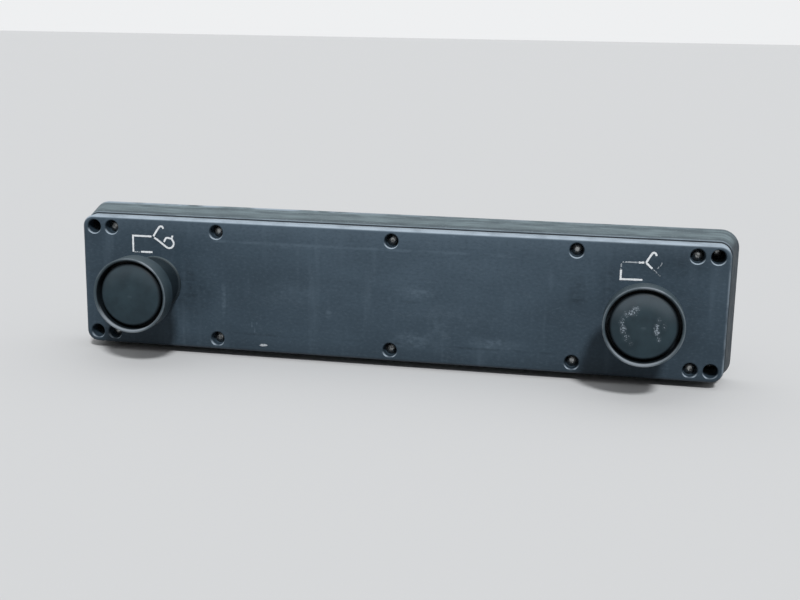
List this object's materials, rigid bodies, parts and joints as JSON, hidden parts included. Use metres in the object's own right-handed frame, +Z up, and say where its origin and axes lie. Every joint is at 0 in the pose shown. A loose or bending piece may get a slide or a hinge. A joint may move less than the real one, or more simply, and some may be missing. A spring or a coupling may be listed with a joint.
{
  "type": "two-hand push-button control box",
  "caption": "Long flat plastic control box for the side of a refuse truck, with round push buttons sunk in guard collars, a screwed cover on a gasket and wall screw holes.",
  "frame": {"origin": "centre of the wall screw holes, in the plane of the flat back face that lies on the wall", "axes": "+X to the right seen from the front, +Y into the wall, +Z up; the front faces -Y"},
  "size_m": [0.4066, 0.071, 0.0906],
  "materials": {
    "housing_plastic": "moulded charcoal plastic, faded and dusty on top",
    "gasket_rubber": "black sealing rubber",
    "cover_plastic": "faded charcoal plastic with fine scratches",
    "screw_steel": "stainless steel, dulled",
    "grommet_rubber": "black rubber",
    "guard_plastic": "moulded charcoal plastic, rim worn pale",
    "bush_plastic": "black plastic",
    "nut_steel": "zinc-plated steel",
    "cap_rubber": "matt black plastic, scuffed",
    "stem_steel": "turned stainless steel"
  },
  "bodies": {
    "box": {"housing": "housing_plastic", "gasket": "gasket_rubber", "cover": "cover_plastic", "cover_screws": "screw_steel", "cable_grommet": "grommet_rubber", "guard_left": "guard_plastic", "bush_left": "bush_plastic", "bush_nut_left": "nut_steel", "guard_right": "guard_plastic", "bush_right": "bush_plastic", "bush_nut_right": "nut_steel"},
    "button_left": {"cap_left": "cap_rubber", "stem_left": "stem_steel", "clip_left": "stem_steel"},
    "button_right": {"cap_right": "cap_rubber", "stem_right": "stem_steel", "clip_right": "stem_steel"}
  },
  "joints": [
    {"name": "press_left", "type": "slide", "parent": "box", "child": "button_left", "axis": [0, 1, 0], "range_m": [0, 0.005], "stiffness_N_per_m": 800, "springref_m": -0.005},
    {"name": "press_right", "type": "slide", "parent": "box", "child": "button_right", "axis": [0, 1, 0], "range_m": [0, 0.005], "stiffness_N_per_m": 800, "springref_m": -0.005}
  ]
}
